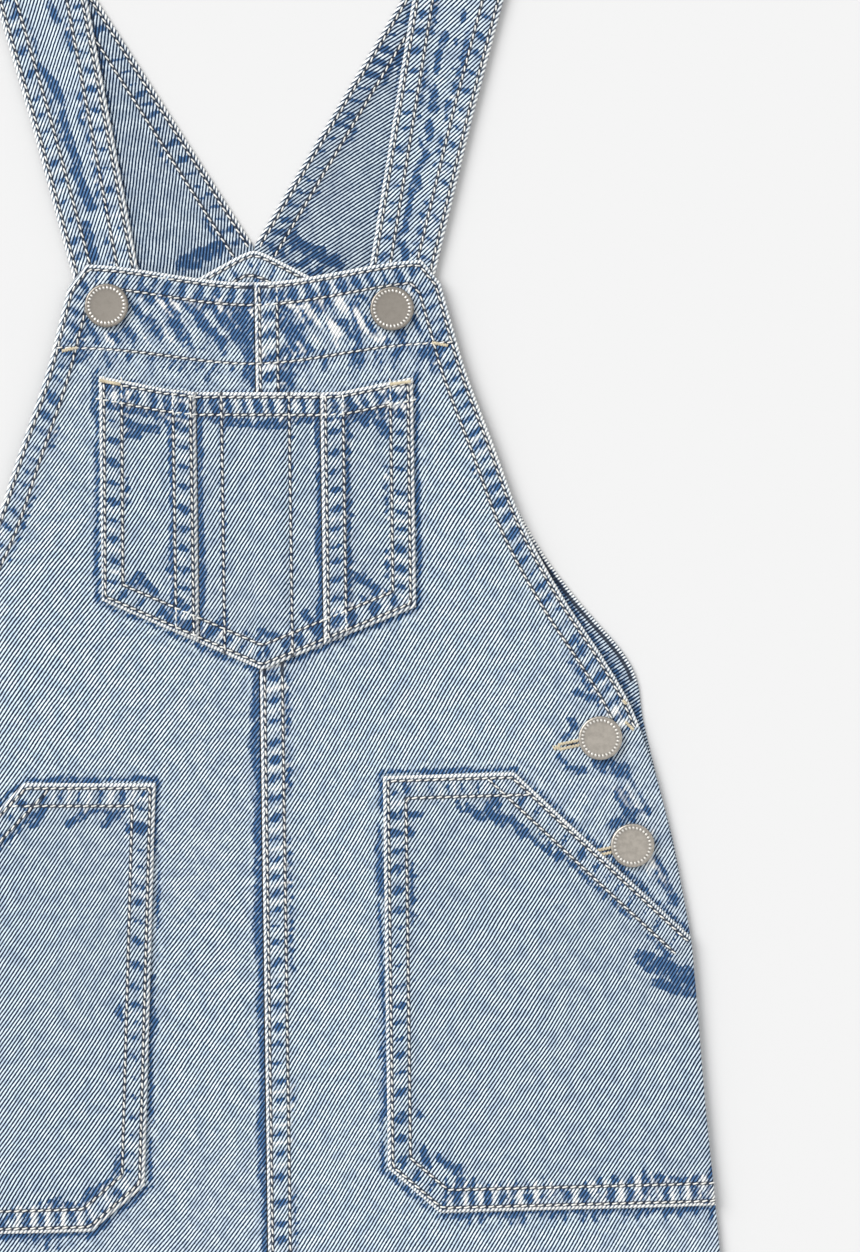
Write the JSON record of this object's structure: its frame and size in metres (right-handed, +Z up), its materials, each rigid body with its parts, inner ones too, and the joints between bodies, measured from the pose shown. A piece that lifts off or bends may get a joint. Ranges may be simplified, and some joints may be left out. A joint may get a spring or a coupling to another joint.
{
  "type": "child's denim shortalls, laid flat",
  "caption": "Child's washed denim shortalls lying flat: bib with pocket, button straps over an open V back, side openings, slanted hip pockets and short wide legs.",
  "frame": {"origin": "on the surface that the garment lies on, under the middle of its box", "axes": "+Y from the hems to the shoulders, +X to the right as seen from above, +Z up out of the cloth"},
  "size_m": [0.3604, 0.6, 0.0074],
  "materials": {
    "denim": "light washed blue twill, worn pale at its seams",
    "pocket_denim": "light washed blue twill of the pockets and the inside of the neck",
    "strap_denim": "washed blue twill, darker and more puckered",
    "nickel": "warm grey satin nickel with a ring of small ticks"
  },
  "bodies": {
    "root": {"back_left": "denim", "back_right": "denim", "front_left": "denim", "front_right": "denim", "strap_left": "strap_denim", "strap_right": "strap_denim", "neck_facing": "pocket_denim", "bib_pocket_left": "pocket_denim", "bib_pocket_middle": "pocket_denim", "bib_pocket_right": "pocket_denim", "hip_pocket_left": "pocket_denim", "hip_pocket_right": "pocket_denim", "bib_button_left": "nickel", "bib_button_right": "nickel", "side_button_left_upper": "nickel", "side_button_left_lower": "nickel", "side_button_right_upper": "nickel", "side_button_right_lower": "nickel"}
  },
  "joints": []
}
